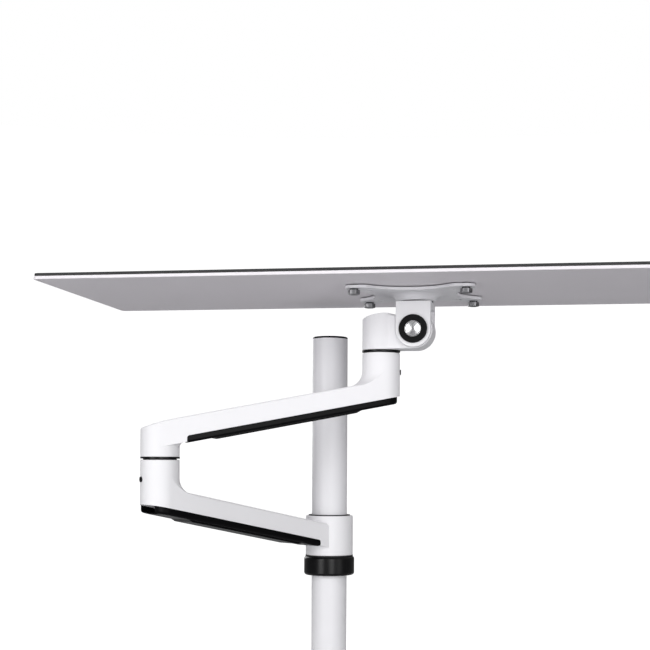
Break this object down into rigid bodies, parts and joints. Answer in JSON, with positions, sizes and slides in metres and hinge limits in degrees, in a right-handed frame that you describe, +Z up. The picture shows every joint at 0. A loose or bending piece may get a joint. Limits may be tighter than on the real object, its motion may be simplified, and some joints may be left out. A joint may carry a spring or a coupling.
{
  "type": "monitor arm",
  "caption": "Desk pole with a jointed swing arm, a swivelling and tilting head on a square-pattern plate, and a long flat tray; clamps to a desk edge.",
  "frame": {"origin": "where the pole's axis meets the desk top, at the underside of the foot's pad", "axes": "+Z up along the pole, +X to the tray's long right side at rest, +Y back towards the desk's rear edge where the clamp is"},
  "size_m": [0.646, 0.2615, 0.5788],
  "materials": {
    "white_pole": "fine white powder coat on steel, satin",
    "white_cast": "fine white powder coat on cast aluminium, satin",
    "white_board": "white coated aluminium sheet, satin",
    "black_plastic": "satin moulded black plastic",
    "grey_nylon": "plain moulded nylon",
    "black_steel": "black oxide, satin",
    "zinc_steel": "bright zinc plate",
    "turned_steel": "turned, bare, polished",
    "dark_rubber": "moulded rubber, matt",
    "black_mat": "thin black mat, matt"
  },
  "bodies": {
    "base": {"pole_tube": "white_pole", "pole_cap": "black_plastic", "pole_plug": "zinc_steel", "foot_bolt": "zinc_steel", "desk_foot": "white_cast", "foot_grub_screw": "black_steel", "foot_pad": "dark_rubber", "clamp_bracket": "white_pole", "clamp_screws": "zinc_steel"},
    "press": {"press_plate": "zinc_steel", "press_pad": "dark_rubber"},
    "spindle": {"clamp_spindle": "zinc_steel", "clamp_knob": "black_plastic"},
    "ring": {"height_ring": "black_plastic", "ring_screw": "black_steel", "glide_washer": "grey_nylon"},
    "lower": {"lower_link": "white_cast", "lower_cable_cover": "black_plastic", "collar_bush_top": "black_plastic", "collar_bush_bottom": "black_plastic", "elbow_sleeve": "grey_nylon", "elbow_set_screw": "black_steel"},
    "upper": {"upper_link": "white_cast", "upper_cable_cover": "black_plastic", "elbow_spigot": "zinc_steel", "elbow_washer": "black_plastic", "elbow_keeper": "zinc_steel", "head_sleeve": "grey_nylon", "head_set_screw": "black_steel"},
    "head": {"head_knuckle": "white_cast", "tilt_sleeve": "grey_nylon", "head_spigot": "zinc_steel", "head_washer": "black_plastic", "head_keeper": "zinc_steel"},
    "bracket": {"tilt_bracket": "white_cast", "tilt_shaft": "zinc_steel", "friction_washers": "grey_nylon", "tilt_ring_front": "black_plastic", "tilt_ring_back": "black_plastic", "tilt_cap_front": "turned_steel", "tilt_cap_back": "turned_steel", "plate_washer": "grey_nylon", "pivot_bolt": "zinc_steel"},
    "tray": {"mount_plate": "white_pole", "tray_spacers": "black_steel", "tray_bolts": "zinc_steel", "bolt_washers": "black_steel", "tray_board": "white_board", "tray_mat": "black_mat"}
  },
  "joints": [
    {"name": "press_travel", "type": "slide", "parent": "base", "child": "press", "axis": [0, 0, 1], "range_m": [-0.027, 0.018]},
    {"name": "spindle_turn", "type": "hinge", "parent": "press", "child": "spindle", "pos_m": [0, 0, 0], "axis": [0, 0, 1], "range_deg": [-3240.5, 2160.5]},
    {"name": "height_slide", "type": "slide", "parent": "base", "child": "ring", "axis": [0, 0, 1], "range_m": [-0.02, 0.15]},
    {"name": "collar_swivel", "type": "hinge", "parent": "ring", "child": "lower", "pos_m": [0, 0, 0.2], "axis": [0, 0, 1], "range_deg": [-180, 180]},
    {"name": "elbow_swivel", "type": "hinge", "parent": "lower", "child": "upper", "pos_m": [-0.12637, -0.15887, 0.27446], "axis": [0, 0, 1], "range_deg": [-300, 9]},
    {"name": "head_swivel", "type": "hinge", "parent": "upper", "child": "head", "pos_m": [0.06289, -0.08546, 0.37412], "axis": [0, 0, 1], "range_deg": [-120, 60]},
    {"name": "tilt", "type": "hinge", "parent": "head", "child": "bracket", "pos_m": [0.09489, -0.08546, 0.39462], "axis": [0, 1, 0], "range_deg": [-8, 90]},
    {"name": "plate_rotation", "type": "hinge", "parent": "bracket", "child": "tray", "pos_m": [0.09489, -0.08546, 0.43022], "axis": [0, 0, 1], "continuous": true}
  ],
  "couplings": [
    {"joint": "spindle_turn", "follows": "press_travel", "rad_per_m": 2094.4}
  ]
}
